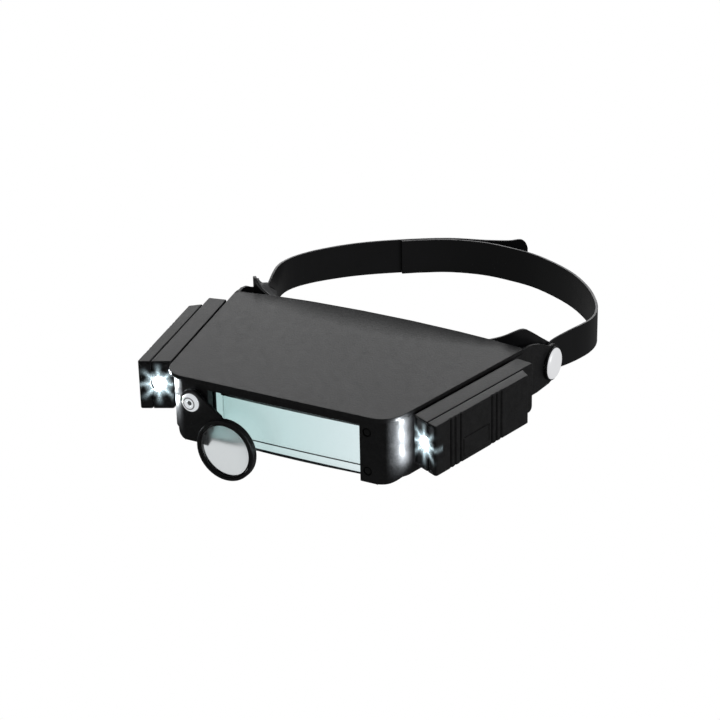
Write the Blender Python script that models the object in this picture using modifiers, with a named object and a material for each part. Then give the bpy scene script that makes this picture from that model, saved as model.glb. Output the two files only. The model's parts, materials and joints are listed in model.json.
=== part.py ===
"""A head visor magnifier: a headband with a padded forehead band and a two-piece strap, and a visor
that tilts on it, with a lens plate, a second lens plate that flips down behind it, a round loupe on a
swinging arm, and a battery light on a rail at each side.

Lengths in this file are millimetres and become metres where a mesh is made. +X is the wearer's left
hand side of the picture plane as seen from the front (the "right" pieces), -Y is the way the visor
looks, +Z is up. The origin is midway between the two pivots, on the visor's tilt axis.
"""

import math

import bmesh
import bpy
from mathutils import Matrix, Vector

MM = 0.001
GAP = 0.3
SIDES = ((-1, "left"), (1, "right"))

# Visor shell
TOP_Z = 18.9
PLATE_THICKNESS = 2.4
WALL = 2.0
FLARE = math.radians(11.7)
BRIM_Y = -139.2
BRIM_HALF_WIDTH = 68.9
BRIM_CORNER = 14.0
REAR_Y = -27.0
LIP_DEPTH = 16.3
LIP_SLOPE = 0.224
LIP_END = 0.8
FRONT_WALL_Y = -131.3
WALL_INSET = 0.4
COLUMN_BOTTOM_Z = -23.7
# Lower corners of the columns: where each arc starts, and its radius
COLUMN_CORNERS = {"left": (61.5, 6.0), "right": (54.0, 23.0)}
COLUMN_STEP = 0.12
WALL_BOTTOM_Z = -17.7
COLUMN_FRONT_SPAN = (-150.0, -110.0)
FAR_OUT = 130.0
FAR_BELOW = -45.0
ARM_BOTTOM_Z = -13.0
ARM_OUTER_X = 96.6
ARM_RADIUS = 11.0
FRAME_DEPTH = 4.9

# Lens window and its plates
WINDOW_HALF_WIDTH = 46.3
WINDOW_TOP_Z = 9.2
LENS_HALF_WIDTH = 48.5
LENS_BOTTOM_Z = -22.7
LENS_TOP_Z = 12.0
LENS_BACK_Y = -122.5
LENS_EDGE = 3.6
LENS_BULGE = 1.6
SCREW_X = 50.7
LENS_SCREW_Z = {"upper": 5.5, "lower": -17.0}
FLIP_AXIS_Y = -117.5
FLIP_AXIS_Z = 9.8
FLIP_HALF_WIDTH = 44.0
FLIP_BOTTOM_Z = -20.5

# Loupe
LOUPE_PIVOT_X = -55.0
LOUPE_PIVOT_Z = 2.0
LOUPE_CENTRE_X = -33.9
LOUPE_CENTRE_Z = -22.1
LOUPE_RADIUS = 17.8
LOUPE_BORE = 15.9
LOUPE_BACK_Y = -132.2
LOUPE_DEPTH = 4.6

# Pivots: a screw along X through the band, the strap and the visor's arm, under a round cap
PIVOT_HOLE = 2.4
PIVOT_SHANK = 2.0
PIVOT_HEAD = 5.0
PIVOT_HEAD_SINK = 0.9
PIVOT_BOSS = 6.4
PIVOT_BOSS_SPAN = (93.6, 95.4)
CAP_RADIUS = 8.95
CAP_HEIGHT = 2.1
RIM_RADIUS = 9.65
RIM_PLATE = 0.5
NUT_FACE = 86.3
NUT_THICKNESS = 1.9
NUT_RADIUS = 3.6

# Lights, in their own frame: a runs outward, b to the rear along the box, z down from the box's top
LIGHT_CORNER = (73.8, -125.4, 17.5)
LIGHT_HEIGHT = 28.6
TRAY_WIDTH = 10.9
LIGHT_WIDTH = 18.1
FACE_SLANT = 0.261
FACE_ZERO = 9.07
TRAY_REAR = 90.4
TRAY_REAR_CORNER = 3.0
COVER_REAR = 76.7
PARTING_REAR = 80.7
SHELL = 1.5
FACE_RECESS = 0.7
POCKET = (9.0, 76.0)
RAIL_WEB = 2.5
RAIL_FLANGE = 4.5
RAIL_SPAN = (12.0, 62.0)
HOOK_SPAN = (8.0, 64.0)
PARTITION = (66.0, 67.4)
REFLECTOR_SEAT = 6.8
LED_BORE_END = 12.0
SWITCH_SLOT = ((3.2, 7.2), (13.0, 20.6), (-31.0, -25.0))
SWITCH_PLACE = (5.2, 15.0, -27.0)

# Battery cover: its hollow, the tongues that slide inside the other half, and the side panel
COVER_POCKET = (2.0, 74.0)
COVER_TONGUES = {"upper": ((-2.9, -1.8), (-2.6, -0.8)), "lower": ((-26.8, -25.7), (-27.8, -26.0))}
TONGUE_SPAN = (12.0, 59.0)
TONGUE_ROOT_SPAN = (14.0, 57.0)
GROOVES = (10.4, 14.1, 18.6, 45.1, 49.1, 53.2)
GROOVE_DEPTH = 0.6
SIDE_PANEL = ((21.0, 42.6), (-26.0, -15.5))
SIDE_PANEL_DEPTH = 0.4

# LED, reflector and cells
LED_A = 7.6
LED_Z = -14.0
REFLECTOR_FRONT = 2.5
REFLECTOR_RADIUS = 4.3
BATTERY_RADIUS = 5.25
BATTERY_LENGTH = 44.5
BATTERY_A = 8.6
BATTERY_Z = {"upper": -8.85, "lower": -19.75}
BATTERY_FRONT = 20.0

# Headband sections of the right half, from the middle to the end: x, y, bottom z, top z
BAND_THICKNESS = 2.0
BAND_SECTIONS = (
    (0.0, -33.5, -17.0, 17.0),
    (30.0, -32.5, -17.0, 17.2),
    (56.0, -29.4, -16.0, 17.8),
    (66.0, -27.2, -15.4, 18.5),
    (72.0, -25.6, -14.8, 20.0),
    (78.0, -23.4, -14.2, 22.0),
    (83.0, -20.4, -13.6, 24.2),
    (87.0, -15.6, -13.0, 24.9),
    (89.8, -9.5, -12.2, 20.8),
    (91.0, -2.0, -11.0, 15.4),
    (91.1, 6.0, -8.6, 10.2),
    (91.1, 11.4, -5.8, 6.6),
    (91.1, 13.2, -3.4, 4.0),
)
BAND_BOSS = 4.2
BAND_BOSS_END = 89.6
BAND_STUD = 1.5
BAND_STUD_SPAN = (90.2, 92.8)
BAND_STUD_Y = 6.6

# The pad: a thin flange over the whole band, and a cushion on it that ends before the pivots
PAD_FLANGE = 1.2
PAD_TRIM = 1.4
CUSHION_THICKNESS = 5.8
CUSHION_SECTIONS = (
    (0.0, -33.5, -15.2, 13.6),
    (30.0, -32.5, -15.2, 13.6),
    (56.0, -29.4, -14.2, 14.0),
    (66.0, -27.2, -13.6, 14.6),
    (72.0, -25.6, -13.0, 15.8),
    (78.0, -23.4, -12.4, 17.8),
    (83.0, -20.4, -11.8, 20.0),
    (87.0, -15.6, -11.0, 20.6),
    (89.4, -10.4, -9.8, 17.4),
    (90.5, -6.4, -8.8, 14.2),
)

# Strap sections (outer face) from the pivot round to the free end: x, y, bottom z, top z
STRAP_THICKNESS = 1.6
TONGUE = 7.0
STRAP_SIDE = (
    (93.0, -7.0, -7.0, 7.0),
    (93.0, 1.0, -7.2, 7.4),
    (93.0, 9.0, -8.8, 9.4),
    (97.2, 22.0, -9.6, 10.8),
    (100.4, 33.0, -9.6, 11.0),
    (101.6, 44.0, -9.9, 10.4),
    (99.4, 57.0, -10.8, 9.8),
    (92.0, 73.0, -12.0, 9.2),
    (78.0, 92.5, -13.4, 8.4),
    (58.0, 111.4, -14.7, 7.4),
)
STRAP_INNER_END = ((31.0, 127.0, -15.6, 6.4), (10.0, 132.4, -16.0, 6.0), (-10.0, 133.4, -16.0, 6.0),
                   (-30.0, 128.4, -15.8, 6.2), (-45.0, 119.0, -15.2, 6.8), (-56.0, 110.4, -14.8, 7.2))
STRAP_OUTER_END = ((33.0, 129.2, -15.6, 6.4), (10.0, 137.0, -16.0, 6.2), (-4.0, 140.2, -15.2, 7.2),
                   (-10.5, 142.8, -14.2, 8.2), (-13.6, 144.0, -13.8, 6.2), (-15.0, 144.6, -13.4, 2.4))
PEG_PLACES = (-30.0, -42.0)
HOLE_PLACES = (-18.0, -24.0, -30.0, -36.0, -42.0, -48.0)
PEG_RADIUS = 1.7
PEG_HEAD = (2.6, 1.0)


# ---------------------------------------------------------------- scene and materials


def clear_scene():
    """Remove every object and make the two collections."""
    for item in list(bpy.data.objects):
        bpy.data.objects.remove(item, do_unlink=True)
    for name in ("head_visor_magnifier", "cutters"):
        group = bpy.data.collections.new(name)
        bpy.context.scene.collection.children.link(group)
    return bpy.data.collections["head_visor_magnifier"], bpy.data.collections["cutters"]


PARTS, CUTTERS = clear_scene()


def material(name, colour, roughness, metallic=0.0, transmission=0.0):
    """A Principled material."""
    made = bpy.data.materials.new(name)
    made.use_nodes = True
    shader = made.node_tree.nodes["Principled BSDF"]
    shader.inputs["Base Color"].default_value = (*colour, 1.0)
    shader.inputs["Roughness"].default_value = roughness
    shader.inputs["Metallic"].default_value = metallic
    shader.inputs["Transmission Weight"].default_value = transmission
    return made


BLACK = material("black_plastic", (0.022, 0.022, 0.024), 0.5)
STRAP_BLACK = material("strap_plastic", (0.015, 0.015, 0.016), 0.35)
PAD_GREY = material("pad_vinyl", (0.16, 0.16, 0.16), 0.6)
CLEAR = material("clear_acrylic", (0.85, 0.97, 0.96), 0.05, 0.0, 1.0)
CHROME = material("chrome", (0.85, 0.85, 0.86), 0.12, 1.0)
SILVER = material("silver_satin", (0.78, 0.78, 0.79), 0.3, 0.8)
STEEL = material("steel", (0.5, 0.5, 0.51), 0.35, 1.0)
LED_WHITE = material("led_epoxy", (0.9, 0.95, 1.0), 0.1)
BOARD_GREEN = material("circuit_board", (0.03, 0.18, 0.08), 0.5)
CELL = material("battery_wrap", (0.12, 0.13, 0.15), 0.35, 0.4)


# ---------------------------------------------------------------- making meshes


def place(name, bm, look=None, parent=None, closed=True):
    """Turn a bmesh in millimetres into an object: a part if it has a look, a cutter if not."""
    if closed:
        bmesh.ops.recalc_face_normals(bm, faces=bm.faces)
    bmesh.ops.scale(bm, vec=(MM, MM, MM), verts=bm.verts)
    mesh = bpy.data.meshes.new(name)
    bm.to_mesh(mesh)
    bm.free()
    item = bpy.data.objects.new(name, mesh)
    item.parent = parent
    if look:
        mesh.materials.append(look)
        PARTS.objects.link(item)
        mesh.shade_smooth()
        mesh.set_sharp_from_angle(angle=math.radians(35.0))
    else:
        CUTTERS.objects.link(item)
        item.hide_render = True
        item.display_type = "WIRE"
    return item


def axis_empty(name, location, turn_z=0.0, parent=None):
    """An empty on a joint's axis."""
    item = bpy.data.objects.new(name, None)
    item.location = Vector(location) * MM
    item.rotation_euler = (0.0, 0.0, turn_z)
    item.parent = parent
    PARTS.objects.link(item)
    return item


def block(name, low, high, look=None, parent=None):
    """A box between two corners."""
    low, high = Vector(low), Vector(high)
    size = high - low
    bm = bmesh.new()
    bmesh.ops.create_cube(bm, size=1.0)
    bmesh.ops.scale(bm, vec=[abs(part) for part in size], verts=bm.verts)
    bmesh.ops.translate(bm, vec=(low + high) / 2.0, verts=bm.verts)
    return place(name, bm, look, parent)


def rod(name, start, end, radius, look=None, parent=None, sides=24):
    """A cylinder from one point to another."""
    start, end = Vector(start), Vector(end)
    run = end - start
    bm = bmesh.new()
    bmesh.ops.create_cone(bm, cap_ends=True, segments=sides, radius1=radius, radius2=radius,
                          depth=run.length, matrix=Matrix.Translation((start + end) / 2.0) @ track_turn(run))
    return place(name, bm, look, parent)


TURNED_TO = {
    "+X": Matrix.Rotation(math.pi / 2.0, 4, "Y"),
    "-X": Matrix.Rotation(-math.pi / 2.0, 4, "Y"),
    "-Y": Matrix.Rotation(math.pi / 2.0, 4, "X"),
}


def track_turn(direction):
    """The turn that brings +Z to a direction."""
    return direction.to_track_quat("Z", "Y").to_matrix().to_4x4()


def turned(name, profile, origin, facing, look=None, parent=None, steps=32, closed=False):
    """A turned piece: (radius, height) points run down the outer side, the axis points to facing,
    a name from TURNED_TO or a direction."""
    turn = TURNED_TO[facing] if isinstance(facing, str) else track_turn(facing)
    mesh = bpy.data.meshes.new(name)
    edges = [(i, i + 1) for i in range(len(profile) - 1)]
    if closed:
        edges.append((len(profile) - 1, 0))
    mesh.from_pydata([(radius * MM, 0.0, height * MM) for radius, height in profile], edges, [])
    guide = bpy.data.objects.new(name, mesh)
    PARTS.objects.link(guide)
    screw = guide.modifiers.new("turn", "SCREW")
    screw.steps = screw.render_steps = steps
    screw.use_merge_vertices = True
    screw.merge_threshold = 0.000001
    made = bpy.data.meshes.new_from_object(guide.evaluated_get(bpy.context.evaluated_depsgraph_get()))
    bpy.data.objects.remove(guide, do_unlink=True)
    bm = bmesh.new()
    bm.from_mesh(made)
    bmesh.ops.remove_doubles(bm, verts=bm.verts, dist=0.000001)
    bmesh.ops.scale(bm, vec=(1.0 / MM,) * 3, verts=bm.verts)
    bmesh.ops.transform(bm, matrix=Matrix.Translation(origin) @ turn, verts=bm.verts)
    return place(name, bm, look, parent)


SLAB_TO = {
    "XY": Matrix.Identity(4),
    "XZ": Matrix.Rotation(math.pi / 2.0, 4, "X"),
    "YZ": Matrix(((0, 0, 1, 0), (1, 0, 0, 0), (0, 1, 0, 0), (0, 0, 0, 1))),
}


def slab(name, outline, plane, low, high, look=None, parent=None):
    """A flat outline in a plane, as a filled curve, extruded from low to high across that plane."""
    curve = bpy.data.curves.new(name, "CURVE")
    curve.dimensions = "2D"
    curve.fill_mode = "BOTH"
    curve.extrude = abs(high - low) / 2.0
    spline = curve.splines.new("POLY")
    spline.points.add(len(outline) - 1)
    for point, (u, v) in zip(spline.points, outline):
        point.co = (u, v, 0.0, 1.0)
    spline.use_cyclic_u = True
    guide = bpy.data.objects.new(name, curve)
    PARTS.objects.link(guide)
    made = bpy.data.meshes.new_from_object(guide.evaluated_get(bpy.context.evaluated_depsgraph_get()))
    bpy.data.objects.remove(guide, do_unlink=True)
    middle = (low + high) / 2.0
    shift = {"XY": (0, 0, middle), "XZ": (0, middle, 0), "YZ": (middle, 0, 0)}[plane]
    bm = bmesh.new()
    bm.from_mesh(made)
    bmesh.ops.remove_doubles(bm, verts=bm.verts, dist=0.0001)
    bmesh.ops.transform(bm, matrix=Matrix.Translation(shift) @ SLAB_TO[plane], verts=bm.verts)
    return place(name, bm, look, parent)


def sheet(name, rows, thickness, look, parent=None):
    """An open surface through rows of points; Solidify thickens it behind the side its faces look to."""
    bm = bmesh.new()
    grid = [[bm.verts.new(point) for point in row] for row in rows]
    for near, far in zip(grid, grid[1:]):
        for i in range(len(near) - 1):
            bm.faces.new((near[i], far[i], far[i + 1], near[i + 1]))
    item = place(name, bm, look, parent, False)
    solid = item.modifiers.new("thickness", "SOLIDIFY")
    solid.thickness = thickness * MM
    solid.offset = -1.0
    return item


def boolean(item, other, operation):
    """Add a Boolean with another object, which becomes a cutter."""
    change = item.modifiers.new(other.name, "BOOLEAN")
    change.operation = operation
    change.object = other
    change.solver = "EXACT"


def cut(item, *cutters):
    """Take shapes away from an object."""
    for cutter in cutters:
        boolean(item, cutter, "DIFFERENCE")


def join(item, *others):
    """Join shapes to an object."""
    for other in others:
        boolean(item, other, "UNION")


def weld(item):
    """Merge the points that Booleans leave almost on top of each other."""
    merge = item.modifiers.new("merge", "WELD")
    merge.merge_threshold = 0.01 * MM


def arc(centre, radius, start, end, count):
    """Points of an arc, angles in degrees."""
    points = []
    for i in range(count + 1):
        angle = math.radians(start + (end - start) * i / count)
        points.append((centre[0] + radius * math.cos(angle), centre[1] + radius * math.sin(angle)))
    return points


def smooth_path(points, per_span):
    """Points of a Catmull-Rom curve through the given ones, with the same number between each two."""
    held = [points[0], *points, points[-1]]
    path = []
    for i in range(1, len(held) - 2):
        before, start, end, after = (Vector(held[i + k]) for k in (-1, 0, 1, 2))
        for step in range(per_span):
            t = step / per_span
            path.append((2.0 * start + (end - before) * t
                         + (2.0 * before - 5.0 * start + 4.0 * end - after) * t * t
                         + (3.0 * start - before - 3.0 * end + after) * t ** 3) / 2.0)
    path.append(Vector(points[-1]))
    return path


# ---------------------------------------------------------------- visor shell


def wall_x(y, inset=0.0):
    """Half the visor's width at a depth."""
    return BRIM_HALF_WIDTH + (y - BRIM_Y) * math.tan(FLARE) - inset


def half_outline(inset, front_y, corner, rear_y):
    """Plan of the visor's right half: front line, rounded corner, flared wall."""
    centre_y = front_y + corner
    centre_x = wall_x(front_y, inset) - corner * (1.0 - math.sin(FLARE)) / math.cos(FLARE)
    points = arc((centre_x, centre_y), corner, -90.0, -math.degrees(FLARE), 6)
    points.append((wall_x(rear_y, inset), rear_y))
    return points


def mirrored(points):
    """A whole outline from its right half, right side last."""
    return [(-x, y) for x, y in reversed(points)] + list(points)


def crease_y(x):
    """Depth of the crease where the rear lip starts to rise."""
    return REAR_Y - 1.0 - LIP_DEPTH * (1.0 - (abs(x) / wall_x(REAR_Y)) ** 2.2)


def top_panel(pivot):
    """The flat top panel with round front corners, and the crescent lip that rises behind its crease."""
    front = mirrored(half_outline(0.0, BRIM_Y, BRIM_CORNER, REAR_Y - 1.0))
    half_width = wall_x(REAR_Y - 1.0) - LIP_END
    stations = [half_width * (1.0 - 2.0 * i / 24.0) for i in range(25)]
    outline = front + [(x, crease_y(x) + 1.0) for x in stations[1:-1]]
    panel = slab("join_panel", outline, "XY", TOP_Z - PLATE_THICKNESS, TOP_Z, None, pivot)
    start = 2.0
    rows = [[(x, crease_y(x) - start, TOP_Z - LIP_SLOPE * start) for x in stations],
            [(x, REAR_Y, TOP_Z + LIP_SLOPE * (REAR_Y - crease_y(x))) for x in stations]]
    return panel, sheet("join_lip", rows, PLATE_THICKNESS - 0.5, None, pivot)


def wall_ring(inset, front_y, corner, arm_x, rear_y):
    """Plan of the walls: the flared sides turn straight back where they become the arms."""
    turn_y = BRIM_Y + (arm_x + inset - BRIM_HALF_WIDTH) / math.tan(FLARE)
    half = half_outline(inset, front_y, corner, turn_y)
    half.append((arm_x, rear_y))
    return mirrored(half)


def arm_profile():
    """Side view of what is cut away behind, above and below the walls and the arms."""
    top = [(REAR_Y + 1.0, 40.0), (REAR_Y + 1.0, TOP_Z - 0.2), (-20.0, 18.4), (-12.0, 16.2), (-5.0, 12.6)]
    end = arc((0.0, 0.0), ARM_RADIUS, 95.0, -95.0, 14)
    low = [(-14.0, ARM_BOTTOM_Z + 0.4), (-86.0, ARM_BOTTOM_Z - 0.9), (-106.0, WALL_BOTTOM_Z),
           (-116.0, WALL_BOTTOM_Z), (-116.0, FAR_BELOW), (40.0, FAR_BELOW), (40.0, 40.0)]
    return top + end + low


def visor_shell(pivot, slides):
    """Walls, arms, top panel, window frame, rails and screw holes in one moulding."""
    shell = slab("visor_shell", wall_ring(WALL_INSET, FRONT_WALL_Y, 10.0, ARM_OUTER_X, 16.0), "XY",
                 COLUMN_BOTTOM_Z, TOP_Z - 0.6, BLACK, pivot)
    hollow = wall_ring(WALL_INSET + WALL, FRONT_WALL_Y + WALL, 8.0, ARM_OUTER_X - WALL, 30.0)
    cut(shell, slab("cut_hollow", hollow, "XY", -50.0, 50.0, None, pivot))
    cut(shell, slab("cut_arms", arm_profile(), "YZ", -120.0, 120.0, None, pivot))
    for side, name in SIDES:
        start_x, radius = COLUMN_CORNERS[name]
        start, end = (math.degrees(math.acos(1.0 - rise / radius))
                      for rise in (COLUMN_STEP, WALL_BOTTOM_Z - COLUMN_BOTTOM_Z))
        corner = arc((side * start_x, COLUMN_BOTTOM_Z + radius), radius, -90.0 + side * start,
                     -90.0 + side * end, 9)
        profile = corner + [(side * FAR_OUT, WALL_BOTTOM_Z), (side * FAR_OUT, FAR_BELOW),
                            (corner[0][0], FAR_BELOW)]
        cut(shell, slab(f"cut_corner_{name}", profile, "XZ", *COLUMN_FRONT_SPAN, None, pivot))
        frame_low = (side * (WINDOW_HALF_WIDTH - 1.0), FRONT_WALL_Y + 1.0, COLUMN_BOTTOM_Z + 0.5)
        frame_high = (side * (WINDOW_HALF_WIDTH + 3.0), FRONT_WALL_Y + FRAME_DEPTH, TOP_Z - 1.0)
        join(shell, block(f"join_frame_{name}", frame_low, frame_high, None, pivot))
    bar_low = (-WINDOW_HALF_WIDTH - 1.0, FRONT_WALL_Y + 0.8, WINDOW_TOP_Z - 1.0)
    bar_high = (WINDOW_HALF_WIDTH + 1.0, FRONT_WALL_Y + FRAME_DEPTH - LENS_BULGE - 0.2, TOP_Z - 1.2)
    join(shell, block("join_frame_top", bar_low, bar_high, None, pivot))
    join(shell, *top_panel(pivot))
    window_low = (-WINDOW_HALF_WIDTH, COLUMN_FRONT_SPAN[0], FAR_BELOW)
    window_high = (WINDOW_HALF_WIDTH, -118.0, WINDOW_TOP_Z)
    cut(shell, block("cut_window", window_low, window_high, None, pivot))
    for side, name in SIDES:
        join(shell, rail(side, name, slides[side]))
        start, end = PIVOT_BOSS_SPAN
        join(shell, rod(f"join_pivot_boss_{name}", (side * start, 0.0, 0.0), (side * end, 0.0, 0.0),
                        PIVOT_BOSS, None, pivot))
    cut(shell, *shell_holes(pivot))
    return shell


def rail(side, name, slide):
    """The T-shaped rail that a light slides on, in the light's own frame."""
    half = [(-GAP, RAIL_FLANGE), (-0.9, RAIL_FLANGE), (-0.9, RAIL_WEB), (-3.6, RAIL_WEB)]
    outline = half + [(a, -z) for a, z in reversed(half)]
    return slab(f"join_rail_{name}", [(side * a, LED_Z + z) for a, z in outline], "XZ", *RAIL_SPAN, None,
                slide)


def shell_holes(pivot):
    """Holes for the pivot screws, the loupe's screw and the lens screws."""
    holes = [rod("cut_loupe_hole", (LOUPE_PIVOT_X, -140.0, LOUPE_PIVOT_Z),
                 (LOUPE_PIVOT_X, -120.0, LOUPE_PIVOT_Z), 1.9, None, pivot, 16)]
    for side, name in SIDES:
        holes.append(rod(f"cut_pivot_{name}", (side * 90.0, 0.0, 0.0), (side * 100.0, 0.0, 0.0),
                         PIVOT_HOLE, None, pivot))
        holes.append(rod(f"cut_pivot_seat_{name}", (side * (ARM_OUTER_X - PIVOT_HEAD_SINK), 0.0, 0.0),
                         (side * 100.0, 0.0, 0.0), PIVOT_HEAD + GAP, None, pivot))
        for level, z in LENS_SCREW_Z.items():
            holes.append(rod(f"cut_screw_{name}_{level}", (side * SCREW_X, -140.0, z),
                             (side * SCREW_X, -120.0, z), 1.3, None, pivot, 12))
            holes.append(rod(f"cut_screw_seat_{name}_{level}", (side * SCREW_X, -140.0, z),
                             (side * SCREW_X, FRONT_WALL_Y + 1.3, z), 2.5, None, pivot, 16))
    return holes


# ---------------------------------------------------------------- lens plates


def lens_outline(half_width, back_y, edge, bulge, flat):
    """Plan of a lens plate: flat edges, a shallow convex front."""
    front = [(half_width - flat - 2.0 * (half_width - flat) * i / 12.0) for i in range(13)]
    points = [(half_width, back_y), (half_width, back_y - edge)]
    for x in front:
        points.append((x, back_y - edge - bulge * (1.0 - (x / (half_width - flat)) ** 2)))
    points += [(-half_width, back_y - edge), (-half_width, back_y)]
    return points


def main_lens(pivot):
    """The fixed lens plate, behind the window's frame."""
    outline = lens_outline(LENS_HALF_WIDTH, LENS_BACK_Y, LENS_EDGE, LENS_BULGE, 2.6)
    return slab("main_lens", outline, "XY", LENS_BOTTOM_Z, LENS_TOP_Z, CLEAR, pivot)


def lens_retainers(pivot):
    """A strip each side clamps the lens plate and carries a lug for the flip lens."""
    for side, name in SIDES:
        strip = block(f"lens_retainer_{name}", (side * 46.8, LENS_BACK_Y + GAP, -21.5),
                      (side * 54.0, LENS_BACK_Y + GAP + 2.0, 13.0), BLACK, pivot)
        lug = block(f"join_lug_{name}", (side * 45.4, LENS_BACK_Y + 1.5, FLIP_AXIS_Z - 3.4),
                    (side * 49.0, FLIP_AXIS_Y + 3.0, FLIP_AXIS_Z + 2.8), None, pivot)
        join(strip, lug)
        cut(strip, rod(f"cut_lug_{name}", (side * 40.0, FLIP_AXIS_Y, FLIP_AXIS_Z),
                       (side * 52.0, FLIP_AXIS_Y, FLIP_AXIS_Z), 1.4 + GAP, None, pivot, 16))
        for level, z in LENS_SCREW_Z.items():
            cut(strip, rod(f"cut_strip_{name}_{level}", (side * SCREW_X, -125.0, z),
                           (side * SCREW_X, -118.0, z), 1.3, None, pivot, 12))


def lens_screws(pivot):
    """Four small screws through the columns into the strips, heads sunk in the front face."""
    head = FRONT_WALL_Y + 1.3 - GAP
    for side, name in SIDES:
        for level, z in LENS_SCREW_Z.items():
            profile = [(0.0, 1.0), (1.0, 0.95), (1.8, 0.6), (2.1, 0.2), (2.1, 0.0), (1.0, 0.0),
                       (1.0, head - LENS_BACK_Y - 2.0), (0.0, head - LENS_BACK_Y - 2.0)]
            turned(f"lens_screw_{name}_{level}", profile, (side * SCREW_X, head, z), "-Y", BLACK,
                   pivot, 16)


def flip_lens(flip):
    """The second lens plate on its bar, hanging behind the first on two trunnions."""
    bar = rod("flip_bar", (-FLIP_HALF_WIDTH, 0.0, 0.0), (FLIP_HALF_WIDTH, 0.0, 0.0), 2.6, BLACK, flip)
    grip = block("join_grip", (-FLIP_HALF_WIDTH + 0.5, -3.4, -6.4), (FLIP_HALF_WIDTH - 0.5, 1.6, -0.6),
                 None, flip)
    trunnions = rod("join_trunnions", (-48.3, 0.0, 0.0), (48.3, 0.0, 0.0), 1.4, None, flip, 16)
    join(bar, grip, trunnions)
    cut(bar, block("cut_grip", (-FLIP_HALF_WIDTH - 1.0, -2.5, -8.0), (FLIP_HALF_WIDTH + 1.0, 0.7, -3.6),
                   None, flip))
    outline = lens_outline(FLIP_HALF_WIDTH - 0.5, 0.4, 2.6, 0.0, 2.6)
    slab("flip_lens", [outline[0], outline[1], outline[-2], outline[-1]], "XY",
         FLIP_BOTTOM_Z - FLIP_AXIS_Z, -3.6 - GAP, CLEAR, flip)


# ---------------------------------------------------------------- loupe


def loupe(pivot, swing):
    """The round loupe: frame, lens, retaining ring, and the screw that it swings on."""
    centre = (LOUPE_CENTRE_X - LOUPE_PIVOT_X, LOUPE_CENTRE_Z - LOUPE_PIVOT_Z)
    front = LOUPE_BACK_Y - LOUPE_DEPTH
    ring = [(LOUPE_RADIUS - 0.5, LOUPE_DEPTH), (LOUPE_RADIUS, LOUPE_DEPTH - 0.5), (LOUPE_RADIUS, 0.4),
            (LOUPE_RADIUS - 0.4, 0.0), (LOUPE_BORE - 0.7, 0.0), (LOUPE_BORE - 0.7, 0.8),
            (LOUPE_BORE, 0.8), (LOUPE_BORE, LOUPE_DEPTH)]
    frame = turned("loupe_frame", ring, (centre[0], LOUPE_BACK_Y, centre[1]), "-Y", BLACK, swing, 48, True)
    join(frame, loupe_arm(centre, swing))
    cut(frame, rod("cut_loupe_arm", (0.0, -140.0, 0.0), (0.0, -125.0, 0.0), 1.9, None, swing, 16))
    sag = 1.5
    rim = LOUPE_BORE - GAP
    half = [(rim * i / 6.0, sag * (1.0 - (i / 6.0) ** 2) + 0.6) for i in range(7)]
    profile = half + [(radius, -height) for radius, height in reversed(half)]
    turned("loupe_lens", profile, (centre[0], LOUPE_BACK_Y - 1.8, centre[1]), "-Y", CLEAR, swing, 40)
    retainer = [(rim, 1.2), (rim, 0.0), (rim - 0.7, 0.0), (rim - 0.7, 1.2)]
    turned("loupe_retaining_ring", retainer, (centre[0], front + 1.6, centre[1]), "-Y", BLACK, swing,
           40, True)
    loupe_screw(pivot)


def loupe_arm(centre, swing):
    """The tapered arm from the screw boss to the ring, cut away inside the ring."""
    boss = 7.0
    lean = math.degrees(math.atan2(centre[1], centre[0]))
    reach = math.hypot(*centre)
    outline = arc((0.0, 0.0), boss, 90.0, 270.0, 8)
    outline += [(reach - LOUPE_BORE - 0.2, -boss - 3.2), (reach - LOUPE_BORE + 3.0, -boss - 1.8),
                (reach - LOUPE_BORE - 0.6, -4.5), (reach - LOUPE_BORE - 1.2, 0.0),
                (reach - LOUPE_BORE - 0.6, 4.5), (reach - LOUPE_BORE + 3.0, boss + 1.8),
                (reach - LOUPE_BORE - 0.2, boss + 3.2)]
    turn = Matrix.Rotation(math.radians(lean), 2)
    outline = [tuple(turn @ Vector(point)) for point in outline]
    return slab("join_loupe_arm", outline, "XZ", LOUPE_BACK_Y - 2.4, LOUPE_BACK_Y - 0.2, None, swing)


def loupe_screw(pivot):
    """Chrome screw, washer and nut that hold the loupe's arm on the column."""
    seat = LOUPE_BACK_Y - 2.4 - GAP
    shank_end = seat + 6.2
    profile = [(0.0, 1.2), (1.4, 1.2), (1.8, 1.9), (3.2, 2.1), (4.4, 1.7), (5.2, 0.8), (5.2, 0.0), (1.5, 0.0),
               (1.5, seat - shank_end), (0.0, seat - shank_end)]
    turned("loupe_screw", profile, (LOUPE_PIVOT_X, seat, LOUPE_PIVOT_Z), "-Y", CHROME, pivot, 32)
    washer = [(6.2, 0.4), (6.2, 0.0), (2.0, 0.0), (2.0, 0.4)]
    turned("loupe_washer", washer, (LOUPE_PIVOT_X, FRONT_WALL_Y - GAP / 2.0, LOUPE_PIVOT_Z), "-Y", STEEL,
           pivot, 24, True)
    nut = rod("loupe_nut", (LOUPE_PIVOT_X, FRONT_WALL_Y + WALL + GAP, LOUPE_PIVOT_Z),
              (LOUPE_PIVOT_X, FRONT_WALL_Y + WALL + GAP + 2.4, LOUPE_PIVOT_Z), 4.0, STEEL, pivot, 6)
    cut(nut, rod("cut_loupe_nut", (LOUPE_PIVOT_X, -135.0, LOUPE_PIVOT_Z),
                 (LOUPE_PIVOT_X, -120.0, LOUPE_PIVOT_Z), 1.5 + GAP, None, pivot, 16))


# ---------------------------------------------------------------- pivots


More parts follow.
